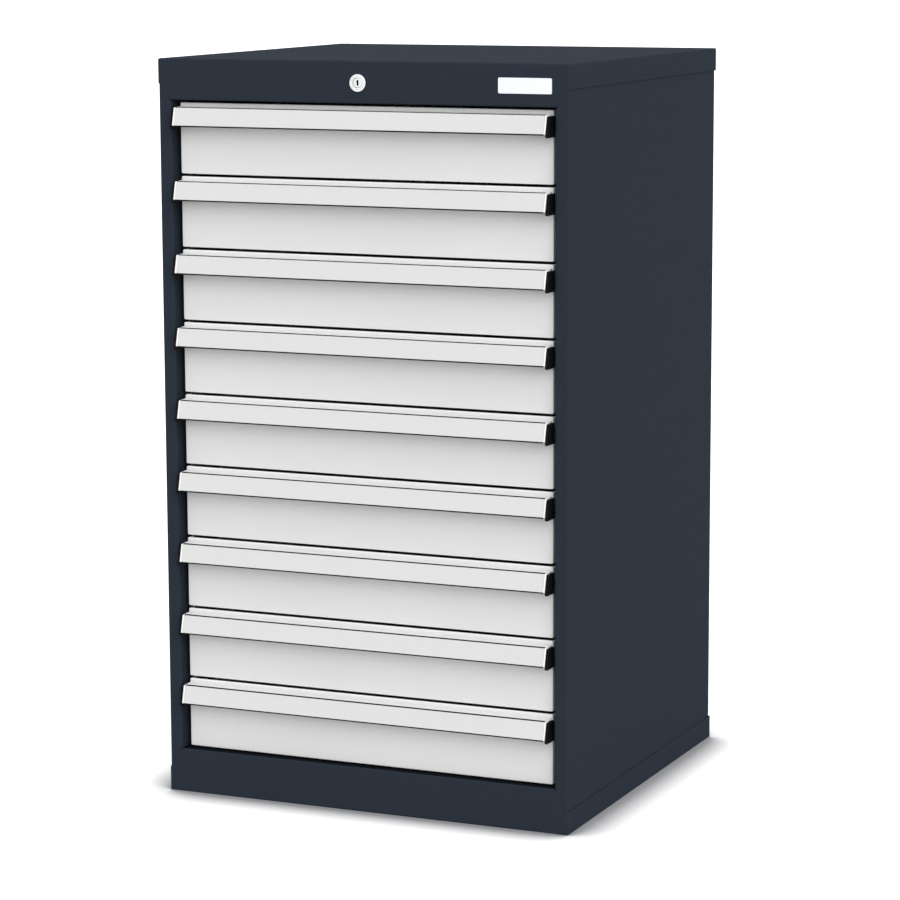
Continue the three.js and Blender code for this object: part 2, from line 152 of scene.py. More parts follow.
def seen_directly(graph):
    """One for the rays of the camera, of reflections and of clear pieces, and else zero."""
    rays = [
        graph.node("ShaderNodeLightPath", output=f"Is {kind} Ray")
        for kind in ("Camera", "Glossy", "Transmission")
    ]
    return rays[0] + rays[1] + rays[2]


world = bpy.data.worlds.new("studio")
scene.world = world
world.use_nodes = True
room = Graph(world.node_tree)
lighting = room.node("ShaderNodeBackground", inputs={"Color": white, "Strength": room_light})
backdrop = room.node("ShaderNodeBackground", inputs={"Color": white, "Strength": 1})
room_seen = room.node("ShaderNodeMixShader",
                      inputs={0: seen_directly(room), 1: lighting, 2: backdrop})
room.node("ShaderNodeOutputWorld", inputs={"Surface": room_seen})

for name, (strength, spread, way) in (("main_lamp", main_lamp), ("side_lamp", side_lamp)):
    lamp = bpy.data.objects.new(name, bpy.data.lights.new(name, "SUN"))
    lamp.data.energy = strength
    lamp.data.angle = spread
    lamp.rotation_mode = "QUATERNION"
    lamp.rotation_quaternion = way.to_track_quat("-Z", "Y")
    scene.collection.objects.link(lamp)

bpy.ops.mesh.primitive_plane_add(size=2 * floor_reach)
floor = bpy.context.object
floor.name = "floor"
floor_white, paint = new_material("floor_white")
# The floor's colour and glow darken by occlusion near the foot: a painted contact shadow.
openness = paint.node("ShaderNodeAmbientOcclusion", inputs={"Distance": foot_reach}, output="AO")
tone = paint.blend(foot_contrast * openness + (1 - foot_contrast), foot_shade, white)
returned = paint.node("ShaderNodeBsdfDiffuse", inputs={"Color": floor_return})
matte_floor = paint.node("ShaderNodeBsdfDiffuse", inputs={"Color": tone})
lift = paint.node("ShaderNodeEmission", inputs={"Color": tone, "Strength": floor_lift})
lifted = paint.node("ShaderNodeAddShader", inputs={0: matte_floor, 1: lift})
floor_seen = paint.node("ShaderNodeMixShader",
                        inputs={0: seen_directly(paint), 1: returned, 2: lifted})
paint.node("ShaderNodeOutputMaterial", inputs={"Surface": floor_seen})
floor.data.materials.append(floor_white)


# Base pan: one steel sheet, folded up low at the sides and the back and high at the front, where
# its edge folds in again and its ends are mitred to meet the stiles. The dark blue-grey powder
# coat has a fine orange peel. The top of the front's return is painted near black as painted
# shade, so the gap above the plinth looks black.
fold_radius = 0.0024
fold_steps = 8
frame_return = 0.016
side_lip_height = 0.032
broken_edge = 0.00025
broken_steps = 2
least_edge_angle = math.radians(28)
smooth_angle = math.radians(42)
flat_angle = math.radians(0.5)
merge_reach = 1e-6
least_length = 1e-7
overrun = 0.005
seat_gap = 0.0003
paint_gap = 0.00005
housing_colour = (0.0245, 0.032, 0.0448)
housing_worn_colour = (0.050, 0.061, 0.077)
# Painted shade: the near-black colour of the front return's top, for the gap above the plinth.
gap_shade_colour = (0.002, 0.0025, 0.003, 1)
gap_shade_share = 0.85
return_normal = 0.95

base_low, base_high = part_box("base_pan")
side_low, side_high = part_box("right_side_panel")
half_width, front_y, back_y = base_high.x, base_low.y, base_high.y
plinth_height = base_high.z
open_half = side_low.x
pan_sheet = half_width - side_high.x - paint_gap


def powder_coat(name, colour, wear_and_highlight_colour, roughness, shine):
    """Powder coat: an orange peel over slow waves, clouded and scuffed in tone and gloss. It is
    paler on marked faces: wear on broken edges, and painted highlights on the drawer fronts'
    folds and the handles' ends. Faces marked as painted shade turn nearly black."""
    peel_scale, peel_depth, peel_strength = 900, 0.00003, 0.35
    wave_scale, wave_depth, wave_strength = 5.5, 0.0004, 0.25
    cloud_scale, cloud_tone, cloud_roughness = 3.1, 0.06, 0.12
    scuff_scale, scuff_roughness = 46, 0.1
    least_wear_and_highlight, scuff_wear_and_highlight = 0.35, 0.5
    material, coat = new_material(name)
    place = coat.node("ShaderNodeTexCoord", output="Object")
    peel = coat.noise(place, peel_scale, detail=1.5)
    cloud = coat.noise(place, cloud_scale, detail=3)
    scuff = coat.noise(place, scuff_scale, detail=4)
    wave = coat.noise(place, wave_scale, detail=0)
    wear_and_highlight = coat.node("ShaderNodeAttribute", {"attribute_name": "broken_edge"}, output="Fac")
    shaded_return = coat.node("ShaderNodeAttribute", {"attribute_name": "painted_gap_shade"}, output="Fac")
    light = tuple(min(1, channel * (1 + cloud_tone)) for channel in colour) + (1,)
    dark = tuple(channel * (1 - cloud_tone) for channel in colour) + (1,)
    tone = coat.blend(cloud, dark, light)
    # Marked faces turn paler: wear on broken edges, and a painted highlight on folds and handle
    # ends.
    tone = coat.blend(wear_and_highlight * (least_wear_and_highlight + scuff_wear_and_highlight * scuff), tone, wear_and_highlight_colour + (1,))
    # Faces marked for painted gap shade turn nearly black.
    tone = coat.blend(gap_shade_share * shaded_return, tone, gap_shade_colour)
    swell = coat.bump(wave, wave_depth, wave_strength)
    coat.surface({
        "Base Color": tone, "Specular IOR Level": shine,
        "Roughness": roughness + cloud_roughness * (cloud - 0.5) + scuff_roughness * (scuff - 0.5),
        "Normal": coat.bump(peel, peel_depth, peel_strength, Normal=swell),
    })
    return material


def along(axis, u, v, distance):
    """A drawing's point (u, v) at a distance along the axis that the drawing lies across."""
    return {"x": (distance, u, v), "y": (u, distance, v), "z": (u, v, distance)}[axis]


def tube_of(rings):
    """A closed mesh through rings of as many points each, with a face over each end. Doubled
    points are merged and all faces turned outwards."""
    count = len(rings[0])
    points = [point for ring in rings for point in ring]
    faces = [list(range(count))[::-1], list(range(len(points) - count, len(points)))]
    for start in range(0, len(points) - count, count):
        for place in range(count):
            near, after = start + place, start + (place + 1) % count
            faces.append([near, after, after + count, near + count])
    mesh = bpy.data.meshes.new("part")
    mesh.from_pydata(points, [], faces)
    shape = bmesh.new()
    shape.from_mesh(mesh)
    bmesh.ops.remove_doubles(shape, verts=shape.verts, dist=least_length)
    bmesh.ops.dissolve_degenerate(shape, edges=shape.edges, dist=least_length)
    bmesh.ops.recalc_face_normals(shape, faces=shape.faces)
    shape.to_mesh(mesh)
    shape.free()
    return mesh


def prism(outline, axis, start, end):
    """An outline pushed along an axis from start to end."""
    return tube_of([[along(axis, u, v, distance) for u, v in outline] for distance in (start, end)])


def rounded(corners, steps=fold_steps):
    """The points of a closed run of corners (u, v) or (u, v, radius), with an arc at a radius."""
    points = []
    for place, (u, v, *arc) in enumerate(corners):
        corner = Vector((u, v))
        if not any(arc):
            points.append(tuple(corner))
            continue
        radius = arc[0]
        before = (Vector(corners[place - 1][:2]) - corner).normalized()
        after = (Vector(corners[(place + 1) % len(corners)][:2]) - corner).normalized()
        half = before.angle(after) / 2
        centre = corner + (before + after).normalized() * radius / math.sin(half)
        first = corner + before * radius / math.tan(half) - centre
        last = corner + after * radius / math.tan(half) - centre
        turn = math.copysign(math.pi - 2 * half, first.cross(last))
        points += [tuple(centre + Matrix.Rotation(turn * step / steps, 2) @ first)
                   for step in range(steps + 1)]
    return points


def rounded_box(low, high, radius=0, steps=fold_steps):
    return rounded([(low[0], low[1], radius), (high[0], low[1], radius),
                    (high[0], high[1], radius), (low[0], high[1], radius)], steps)


def block(low, high):
    return prism(rounded_box(low, high), "z", low[2], high[2])


def pan(section, low, high, axis, corner_radius, steps=fold_steps):
    """A wall's section, as corners of inset and height, run round a rectangle across an axis. It
    goes from the outer face over the rim to the inner one. Its first and last corners lie in the
    two faces of the bottom, which close the pan, and have no points of their own."""
    rings = []
    for inset, distance in rounded(section)[1:-1]:
        radius = max(corner_radius - inset, 0)
        reach = inset + radius
        centres = [
            (high[0] - reach, high[1] - reach), (low[0] + reach, high[1] - reach),
            (low[0] + reach, low[1] + reach), (high[0] - reach, low[1] + reach),
        ]
        ring = []
        for quarter, (u, v) in enumerate(centres):
            for step in range(steps + 1):
                angle = (quarter + step / steps) * math.pi / 2
                over, up = radius * math.cos(angle), radius * math.sin(angle)
                ring.append(along(axis, u + over, v + up, distance))
        rings.append(ring)
    return tube_of(rings)


def linked(name, mesh):
    body = bpy.data.objects.new(name, mesh)
    scene.collection.objects.link(body)
    return body


def taken(body):
    """The plain mesh that an object's modifiers make, once the object itself is put away."""
    bpy.context.view_layer.update()
    made = body.evaluated_get(bpy.context.evaluated_depsgraph_get())
    mesh = bpy.data.meshes.new_from_object(made)
    bpy.data.objects.remove(body)
    return mesh


def carved(mesh, *tools, operation="DIFFERENCE"):
    """A mesh with others cut from it, or joined to it."""
    body = linked("workpiece", mesh)
    held = [linked("tool", tool) for tool in tools]
    for tool in held:
        cut = body.modifiers.new("cut", "BOOLEAN")
        cut.operation = operation
        cut.object = tool
    result = taken(body)
    for tool in held:
        bpy.data.objects.remove(tool)
    return result


def joined(*meshes):
    """Several meshes as one, each still a closed body."""
    shape = bmesh.new()
    for mesh in meshes:
        shape.from_mesh(mesh)
    whole = bpy.data.meshes.new("parts")
    shape.to_mesh(whole)
    shape.free()
    return whole


def mirrored(mesh):
    other = mesh.copy()
    other.transform(Matrix.Diagonal((-1, 1, 1, 1)))
    other.flip_normals()
    return other


def broken(mesh, width=broken_edge):
    """A mesh with its sharp edges broken, its new edge faces marked, and its shading smooth."""
    shape = bmesh.new()
    shape.from_mesh(mesh)
    bmesh.ops.remove_doubles(shape, verts=shape.verts, dist=merge_reach)
    bmesh.ops.dissolve_limit(shape, angle_limit=flat_angle, verts=shape.verts, edges=shape.edges)
    bmesh.ops.recalc_face_normals(shape, faces=shape.faces)
    sharp = [edge for edge in shape.edges if edge.calc_face_angle(0) > least_edge_angle]
    mark = shape.faces.layers.float.new("broken_edge")
    made = bmesh.ops.bevel(shape, geom=sharp, offset=width, segments=broken_steps, profile=0.5,
                           affect="EDGES", clamp_overlap=True)
    for face in made["faces"]:
        face[mark] = 1
    for face in shape.faces:
        face.smooth = True
    result = bpy.data.meshes.new("part")
    shape.to_mesh(result)
    shape.free()
    result.set_sharp_from_angle(angle=smooth_angle)
    body = linked("smoothed", result)
    body.modifiers.new("even", "WEIGHTED_NORMAL").keep_sharp = True
    return taken(body)


def piece(name, mesh, material, body, *nodes):
    """Makes a finished piece: it has one finish, rides on a body and stands for CAD nodes."""
    mesh.materials.clear()
    mesh.materials.append(material)
    made = linked(name, mesh)
    mesh.name = name
    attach(made, body)
    if nodes:
        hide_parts(*nodes)


def geometry_tree(name, *inputs):
    """An empty geometry tree with these named inputs, and each input's socket by its name."""
    tree = bpy.data.node_groups.new(name, "GeometryNodeTree")
    tree.interface.new_socket("Geometry", in_out="INPUT", socket_type="NodeSocketGeometry")
    for label, kind in inputs:
        tree.interface.new_socket(label, in_out="INPUT", socket_type=f"NodeSocket{kind}")
    tree.interface.new_socket("Geometry", in_out="OUTPUT", socket_type="NodeSocketGeometry")
    graph = Graph(tree)
    source = tree.nodes.new("NodeGroupInput")
    return graph, {socket.name: Socket(graph, socket) for socket in source.outputs if socket.name}


def grown(tree, mesh, **values):
    """The plain mesh that a geometry tree makes from a first mesh, with these input values."""
    body = linked("grown", mesh)
    modifier = body.modifiers.new("grown", "NODES")
    modifier.node_group = tree
    for item in tree.interface.items_tree:
        if item.in_out == "INPUT" and item.name in values:
            modifier[item.identifier] = values[item.name]
    return taken(body)


fold, given = geometry_tree("fold", ("Radius", "Float"), ("Steps", "Int"), ("Run", "Vector"),
                            ("Finish", "Material"))
bend_line = fold.node("GeometryNodeMeshToCurve", inputs={"Mesh": given["Geometry"]})
bend_line = fold.node("GeometryNodeFilletCurve", {"mode": "POLY"}, {
    "Curve": bend_line, "Count": given["Steps"], "Radius": given["Radius"],
})
bend_line = fold.node("GeometryNodeCurveToMesh", inputs={"Curve": bend_line})
skin = fold.node("GeometryNodeExtrudeMesh", {"mode": "EDGES"}, {
    "Mesh": bend_line, "Offset": given["Run"], "Offset Scale": 1,
})
skin = fold.node("GeometryNodeRealizeInstances", inputs={"Geometry": skin})
skin = fold.node("GeometryNodeSetMaterial", inputs={"Geometry": skin, "Material": given["Finish"]})
fold.node("NodeGroupOutput", inputs={"Geometry": skin})


def folded(corners, axis, start, end, thickness, radius, finish):
    """A sheet folded along a run of corners, which lie on its outer face with the sheet on
    their left, and pushed along an axis. Every fold has the outer radius."""
    points = [Vector(corner) for corner in corners]
    ways = [(after - before).normalized() for before, after in zip(points, points[1:])]
    lefts = [Vector((-way.y, way.x)) for way in ways]
    middle = []
    for place, point in enumerate(points):
        before, after = lefts[max(place - 1, 0)], lefts[min(place, len(lefts) - 1)]
        mitre = (before + after).normalized()
        u, v = point + mitre * thickness / 2 / mitre.dot(after)
        middle.append(along(axis, u, v, start))
    line = bpy.data.meshes.new("bend_line")
    line.from_pydata(middle, [(place, place + 1) for place in range(len(middle) - 1)], [])
    skin = grown(fold.tree, line, Radius=radius - thickness / 2, Steps=fold_steps,
                 Run=along(axis, 0.0, 0.0, end - start), Finish=finish)
    body = linked("sheet", skin)
    wall = body.modifiers.new("wall", "SOLIDIFY")
    wall.thickness = thickness
    wall.offset = 0
    wall.use_even_offset = True
    return taken(body)


housing_paint = powder_coat("housing_paint", housing_colour, housing_worn_colour,
                            roughness=0.8, shine=0.015)


def housing_pan(apron_height):
    """The pan that both ends of the housing share, lying on its sheet with its lips up."""
    rim = apron_height + fold_radius
    inner_radius = fold_radius - pan_sheet
    section = [
        (half_width / 2, 0), (0, 0, fold_radius), (0, rim), (pan_sheet, rim),
        (pan_sheet, pan_sheet, inner_radius), (half_width / 2, pan_sheet),
    ]
    whole = pan(section, (-half_width, front_y), (half_width, back_y), "z", fold_radius)
    far_x, far_z = half_width + overrun, rim + overrun
    over_lips = block((-far_x, front_y + pan_sheet, side_lip_height),
                      (far_x, back_y + overrun, far_z))
    mitre = prism(
        [(half_width, side_lip_height), (open_half, apron_height), (open_half, far_z),
         (far_x, far_z), (far_x, side_lip_height)],
        "y", front_y - overrun, front_y + pan_sheet + overrun,
    )
    fold_start = apron_height - fold_radius - pan_sheet
    over_apron = block((-far_x, front_y - overrun, apron_height),
                       (far_x, front_y + 2 * pan_sheet, far_z))
    return_half = open_half - seat_gap
    fold_room = block((-return_half, front_y - overrun, fold_start + pan_sheet / 2),
                      (return_half, front_y + 2 * pan_sheet, far_z))
    edge = folded(
        [(front_y + frame_return, apron_height), (front_y, apron_height), (front_y, fold_start)],
        "x", -return_half, return_half, pan_sheet, fold_radius, housing_paint,
    )
    trimmed = carved(whole, over_lips, mitre, mirrored(mitre), over_apron, fold_room)
    folded_pan = carved(trimmed, edge, operation="UNION")
    # The top face of the front's return is marked for painted shade, so the gap above the plinth
    # looks black.
    painted_gap_shade = folded_pan.attributes.new("painted_gap_shade", "FLOAT", "FACE")
    for face, mark in zip(folded_pan.polygons, painted_gap_shade.data):
        on_return = face.center.z > apron_height - pan_sheet
        mark.value = float(on_return and face.normal.z > return_normal)
    return folded_pan


piece("base_pan_sheet", broken(housing_pan(plinth_height)), housing_paint, "cabinet", "base_pan")


# Side panels: each is one sheet from front to back, folded at the front into the stile and its
# return beside the drawers, and at the back into the flange that the back panel lies on.
# They are spot welded to the two pans, with the same powder coat all over.
housing_sheet = 0.0012
back_flange = 0.018
mitre_gap = 0.0004

cover_low, cover_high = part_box("top_cover")
cabinet_height, open_top = cover_high.z, cover_low.z


def stile_end(open_edge, lip_edge, far_edge):
    """The room that a pan's apron takes at one end of a stile: a mitre through its face, and a
    square cut through its return."""
    far_x, near_x = half_width + overrun, open_half - overrun
    mitre = prism(
        [(open_half, open_edge), (half_width, lip_edge), (far_x, lip_edge), (far_x, far_edge),
         (near_x, far_edge), (near_x, open_edge)],
        "y", front_y - overrun, front_y + fold_radius,
    )
    low_z, high_z = sorted((open_edge, far_edge))
    across = block((near_x, front_y - overrun, low_z),
                   (open_half + fold_radius, front_y + frame_return + seat_gap, high_z))
    return mitre, across


side_sheet = carved(
    folded(
        [(open_half, front_y + frame_return), (open_half, front_y), (side_high.x, front_y),
         (side_high.x, side_high.y), (side_high.x - back_flange, side_high.y)],
        "z", side_low.z, side_high.z, housing_sheet, fold_radius, housing_paint,
    ),
    *stile_end(open_top - mitre_gap, cabinet_height - side_lip_height - mitre_gap,
               cabinet_height + overrun),
    *stile_end(plinth_height + mitre_gap, side_lip_height + mitre_gap, -overrun),
)
piece("right_side_sheet", broken(side_sheet), housing_paint, "cabinet", "right_side_panel")
piece("left_side_sheet", broken(mirrored(side_sheet)), housing_paint, "cabinet", "left_side_panel")


# Top cover: the same pan upside down, with a lower apron that makes the header over the
# drawers. A round hole in the middle of the header takes the lock.
lock_drop = 0.0285
lock_hole_radius = 0.0098
circle_steps = 64

lock_height = cabinet_height - lock_drop


def circle(radius, centre=(0, 0), steps=circle_steps):
    angles = [2 * math.pi * step / steps for step in range(steps)]
    return [(centre[0] + radius * math.cos(angle), centre[1] + radius * math.sin(angle))
            for angle in angles]


cover = housing_pan(cabinet_height - open_top)
cover.transform(Matrix.Translation((0, 0, cabinet_height)) @ Matrix.Rotation(math.pi, 4, "Y"))
lock_hole = prism(circle(lock_hole_radius, (0, lock_height)), "y", front_y - overrun,
                  front_y + overrun)
piece("top_cover_sheet", broken(carved(cover, lock_hole)), housing_paint, "cabinet", "top_cover")


# Back panel: a plain thinner sheet that lies on the side panels' flanges, between the lips of
# the two pans. Two rows of blind rivets hold it, with a small domed head each.
rivet_radius = 0.004
rivet_dome = 0.0011
rivet_inset = 0.009
rivet_end_room = 0.06
rivet_count = 8
zinc_light = (0.62, 0.64, 0.66, 1)
zinc_dark = (0.46, 0.48, 0.50, 1)
dome_tip = 50

row, given = geometry_tree("row", ("Start", "Vector"), ("End", "Vector"), ("Count", "Int"),
                           ("Shape", "Object"), ("Finish", "Material"))
stations = row.node("GeometryNodeMeshLine", {"mode": "END_POINTS"}, {
    "Count": given["Count"], "Start Location": given["Start"], "Offset": given["End"],
})
pattern = row.node("GeometryNodeObjectInfo", inputs={"Object": given["Shape"]}, output="Geometry")
copies = row.node("GeometryNodeInstanceOnPoints", inputs={"Points": stations, "Instance": pattern})
copies = row.node("GeometryNodeRealizeInstances", inputs={"Geometry": copies})
copies = row.node("GeometryNodeSetMaterial",
                  inputs={"Geometry": copies, "Material": given["Finish"]})
row.node("NodeGroupOutput", inputs={"Geometry": copies})


def in_a_row(mesh, start, end, count, finish):
    """Copies of a small mesh from start to end, as one mesh."""
    shape = linked("shape", mesh)
    copies = grown(row.tree, bpy.data.meshes.new("start"), Start=tuple(start), End=tuple(end),
                   Count=count, Shape=shape, Finish=finish)
    bpy.data.objects.remove(shape)
    return copies


def turned_body(profile, axis, centre=(0, 0), steps=circle_steps):
    """A round body about an axis, through (radius, level) points from end to end."""
    return tube_of([[along(axis, u, v, level) for u, v in circle(radius, centre, steps)]
                    for radius, level in profile])


def dome(radius, height, axis, side, steps=16, rings=4):
    """A rivet's head on a face across an axis, out to one side, with its foot sunk in the face."""
    profile = [(radius, -side * height)]
    for ring in range(rings + 1):
        angle = math.pi / 2 * ring / rings
        reach = max(radius * math.cos(angle), radius / dome_tip)
        profile.append((reach, side * height * math.sin(angle)))
    return turned_body(profile, axis, steps=steps)


def zinc_plate(name):
    """Galvanised steel: a pale skin of flat crystals that differ a little in tone and gloss,
    with fine lines along Y where the strip was rolled."""
    spangle_scale, spangle_tone, spangle_roughness = 160, 0.55, 0.14
    stain_scale, stain_tone, stain_roughness = 14, 0.3, 0.12
    roll_scale, roll_tone, roll_depth, roll_strength = (60, 4, 900), 0.3, 0.00002, 0.3
    least_roughness = 0.3
    material, zinc = new_material(name)
    place = zinc.node("ShaderNodeTexCoord", output="Object")
    crystal = zinc.node("ShaderNodeTexVoronoi", inputs={"Vector": place, "Scale": spangle_scale},
                        output="Color")
    crystal = zinc.node("ShaderNodeRGBToBW", inputs={"Color": crystal})
    rolled = zinc.node("ShaderNodeMapping", inputs={"Vector": place, "Scale": roll_scale})
    rolled = zinc.noise(rolled, scale=1, detail=2)
    stain = zinc.noise(place, stain_scale, detail=4)
    share = spangle_tone * crystal + roll_tone * rolled + stain_tone * stain
    zinc.surface({
        "Base Color": zinc.blend(share, zinc_dark, zinc_light), "Metallic": 1,
        "Roughness": least_roughness + spangle_roughness * crystal + stain_roughness * stain,
        "Normal": zinc.bump(rolled, roll_depth, roll_strength),
    })
    return material


zinc_steel = zinc_plate("zinc_steel")
panel_low, panel_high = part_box("back_panel")
piece("back_sheet", broken(block(panel_low, panel_high)), housing_paint, "cabinet", "back_panel")
rivet = dome(rivet_radius, rivet_dome, "y", 1)
rivet_x = panel_high.x - rivet_inset
back_rivets = [
    in_a_row(rivet, (x, panel_high.y, panel_low.z + rivet_end_room),
             (x, panel_high.y, panel_high.z - rivet_end_room), rivet_count, zinc_steel)
    for x in (-rivet_x, rivet_x)
]
piece("back_rivets", broken(joined(*back_rivets), 0), zinc_steel, "cabinet")


# Runner walls: two folded steel sheets that stand between the pans, a little inside the side
# panels. Punched slots run up them, and the right one is open for the lock's arm and tabs.
# They are welded to the pans, and powder coated with the rest of the housing.
wall_sheet = 0.0012
slot_width = 0.0035
slot_height = 0.012
slot_pitch = 0.025
slot_end_room = 0.06
slot_row_inset = 0.036
slot_round = 2.01
running_gap = 0.0004
tab_drop = 0.032
tab_height = 0.010
tab_width = 0.010
tab_inset = 0.005
lock_lift = 0.01414
drawer_count = 9

wall_low, wall_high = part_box("right_runner_wall")
front_low, front_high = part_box("drawer_1_front")
next_front_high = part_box("drawer_2_front")[1]
bar_low, bar_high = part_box("lock_bar")
drawer_pitch = front_high.z - next_front_high.z
drawers = {f"drawer_{number + 1}": -drawer_pitch * number for number in range(drawer_count)}
wall_sheet_end = wall_low.x + wall_sheet + fold_radius


def slot_tool(width, height, depth, axis):
    """A tool that punches an upright slot with round ends through a sheet across an axis."""
    outline = rounded_box((-width / 2, -height / 2), (width / 2, height / 2), width / slot_round,
                          steps=4)
    return prism(outline, axis, -depth / 2, depth / 2)


wall = folded(
    [(wall_high.x - fold_radius + seat_gap, wall_high.y), (wall_low.x, wall_high.y),
     (wall_low.x, wall_low.y), (wall_high.x, wall_low.y)],
    "z", wall_low.z, wall_high.z, wall_sheet, fold_radius, housing_paint,
)
slot_count = int((wall_high.z - wall_low.z - 2 * slot_end_room) / slot_pitch) + 1
slot = slot_tool(slot_width, slot_height, 4 * wall_sheet, "x")
first_slot = wall_low.z + slot_end_room
last_slot = first_slot + (slot_count - 1) * slot_pitch
slots = [
    in_a_row(slot, (wall_low.x, y, first_slot), (wall_low.x, y, last_slot), slot_count,
             housing_paint)
    for y in (wall_low.y + slot_row_inset, wall_high.y - slot_row_inset)
]
wall = carved(wall, *slots)
bar_width = bar_high.y - bar_low.y
arm_low = bar_high.z - bar_width
lock_openings = [block(
    (wall_low.x - overrun, bar_low.y - running_gap, arm_low - running_gap),
    (wall_sheet_end, bar_high.y + running_gap, cabinet_height),
)]
tab_y = bar_low.y + tab_inset
for drop in drawers.values():
    tab_top = front_high.z + drop - tab_drop
    lock_openings.append(block(
        (wall_low.x - overrun, tab_y - running_gap, tab_top - tab_height - running_gap),
        (wall_sheet_end, tab_y + tab_width + running_gap, tab_top + lock_lift + running_gap),
    ))
piece("right_wall_sheet", broken(carved(wall, *lock_openings)), housing_paint,
      "cabinet", "right_runner_wall")
piece("left_wall_sheet", broken(mirrored(wall)), housing_paint, "cabinet", "left_runner_wall")


# Rail frames: the nine fixed rails of a side are channels of galvanised strip, welded to two
# upright straps. Flat-headed rivets through the straps hold each frame on its wall.
rail_sheet = 0.0012
rail_fold = 0.002
slide_drop = 0.064
strap_width = 0.025
strap_inset = 0.007
weld_sink = 0.00005
stud_radius = 0.0035
stud_height = 0.0007

frame_low, frame_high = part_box("right_rail_frame")
rail_half = (frame_high.z - frame_low.z - drawer_pitch * (drawer_count - 1)) / 2
strap_starts = (tab_y + tab_width + strap_inset, frame_high.y - strap_inset - strap_width)
first_rail_z = front_high.z - slide_drop
last_rail_z = first_rail_z - drawer_pitch * (drawer_count - 1)


def raised(mesh, rise):
    other = mesh.copy()
    other.transform(Matrix.Translation((0, 0, rise)))
    return other


def channel(web_x, reach_x, half, height, start, end, finish):
    """A rail's channel of the right side, with its web at one x and its flanges out to another."""
    low, high = height - half, height + half
    corners = [(reach_x, low), (web_x, low), (web_x, high), (reach_x, high)]
    if reach_x > web_x:
        corners.reverse()
    return folded(corners, "y", start, end, rail_sheet, rail_fold, finish)


rail = channel(frame_high.x, frame_low.x, rail_half, first_rail_z, frame_low.y, frame_high.y,
               zinc_steel)
rails = [raised(rail, drop) for drop in drawers.values()]
strap_face = frame_high.x - rail_sheet
straps = [
    block((strap_face + weld_sink, y, last_rail_z),
          (frame_high.x - weld_sink, y + strap_width, first_rail_z))
    for y in strap_starts
]
stud = dome(stud_radius, stud_height, "x", -1)
studs = [
    in_a_row(stud, (strap_face, y, last_rail_z), (strap_face, y, first_rail_z), drawer_count,
             zinc_steel)
    for y in (start + strap_width / 2 for start in strap_starts)
]
rail_frame = broken(carved(joined(*rails), *straps, operation="UNION"))
rail_studs = broken(joined(*studs), 0)
for side, rails, rivets in (("right", rail_frame, rail_studs),
                            ("left", mirrored(rail_frame), mirrored(rail_studs))):
    piece(f"{side}_rails", rails, zinc_steel, "cabinet", f"{side}_rail_frame")
    piece(f"{side}_rail_rivets", rivets, zinc_steel, "cabinet")


# Lock: a turned and chromed barrel whose collar stands on the header, and a plug in it with a
# narrow keyway, closed by a dark spring shutter. A nut behind the sheet holds the barrel, and
# a cam with a pin lifts the lock bar, which runs down behind the right wall. All are bought in.
barrel_radius = 0.0095
bore_radius = 0.0067
collar_edge = 0.0009
groove_in, groove_out, groove_depth = 0.0084, 0.0089, 0.00025
plug_edge = 0.0003
plug_back_end = 0.0153
keyway_width, keyway_height, keyway_depth = 0.0028, 0.0074, 0.012
dish_radius, dish_depth = 0.0046, 0.0004
shutter_depth = 0.0013
shutter_wide, shutter_high = 0.45, 0.48
lock_edge = 0.0001
tail_width, tail_length = 0.007, 0.005
chrome_colours = ((0.53, 0.54, 0.55, 1), (0.74, 0.75, 0.76, 1))
black_colours = ((0.002, 0.002, 0.0025, 1), (0.006, 0.006, 0.007, 1))

barrel_low, barrel_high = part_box("lock_barrel")
plug_low, plug_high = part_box("lock_plug")
lock_centre = (0, lock_height)


def chrome_plate(name):
    """Bright chrome over turned brass: fine rings about the lock's middle, and faint smears."""
    ring_scale, ring_depth, ring_strength = 5200, 0.00001, 0.25
    smear_scale, smear_roughness, least_roughness = 130, 0.16, 0.12
    material, chrome = new_material(name)
    place = chrome.node("ShaderNodeTexCoord", output="Object")
    centred = chrome.node("ShaderNodeMapping", inputs={
        "Vector": place, "Location": (0, 0, -lock_height), "Scale": (1, 0, 1),
    })
    radius = chrome.node("ShaderNodeVectorMath", {"operation": "LENGTH"}, {0: centred},
                         output="Value")
    rings = chrome.node("ShaderNodeMath", {"operation": "SINE"}, {0: radius * ring_scale})
    smear = chrome.noise(place, smear_scale, detail=3)
    chrome.surface({
        "Base Color": chrome.blend(smear, *chrome_colours), "Metallic": 1,
        "Roughness": least_roughness + smear_roughness * smear,
        "Normal": chrome.bump(rings, ring_depth, ring_strength),
    })
    return material


def grained(name, colours, grain_scale, roughness, shine, grain_depth):
    """Moulded plastic or card: two close tones, with a fine grain in tone, gloss and surface."""
    cloud_reach, cloud_roughness, grain_strength = 40, 0.2, 0.5
    material, stuff = new_material(name)
    place = stuff.node("ShaderNodeTexCoord", output="Object")
    grain = stuff.noise(place, grain_scale, detail=3)
    cloud = stuff.noise(place, grain_scale / cloud_reach, detail=2)
    stuff.surface({
        "Base Color": stuff.blend(0.5 * grain + 0.5 * cloud, *colours), "Specular IOR Level": shine,
        "Roughness": roughness + cloud_roughness * (cloud - 0.5),
        "Normal": stuff.bump(grain, grain_depth, grain_strength),
    })
    return material


lock_chrome = chrome_plate("lock_chrome")
black_plastic = grained("black_plastic", black_colours, grain_scale=3200,
                        roughness=0.6, shine=0.06, grain_depth=0.00002)
seat_y = front_y - seat_gap
collar = turned_body(rounded([
    (barrel_radius, barrel_high.y), (barrel_radius, seat_y), (barrel_high.x, seat_y),
    (barrel_high.x, barrel_low.y, collar_edge), (groove_out, barrel_low.y),
    (groove_out, barrel_low.y + groove_depth), (groove_in, barrel_low.y + groove_depth),
    (groove_in, barrel_low.y), (bore_radius / 2, barrel_low.y),
]), "y", lock_centre)
bore = prism(circle(bore_radius, lock_centre), "y", barrel_low.y - overrun,
             barrel_high.y + overrun)
piece("lock_collar", broken(carved(collar, bore), lock_edge), lock_chrome, "cabinet", "lock_barrel")

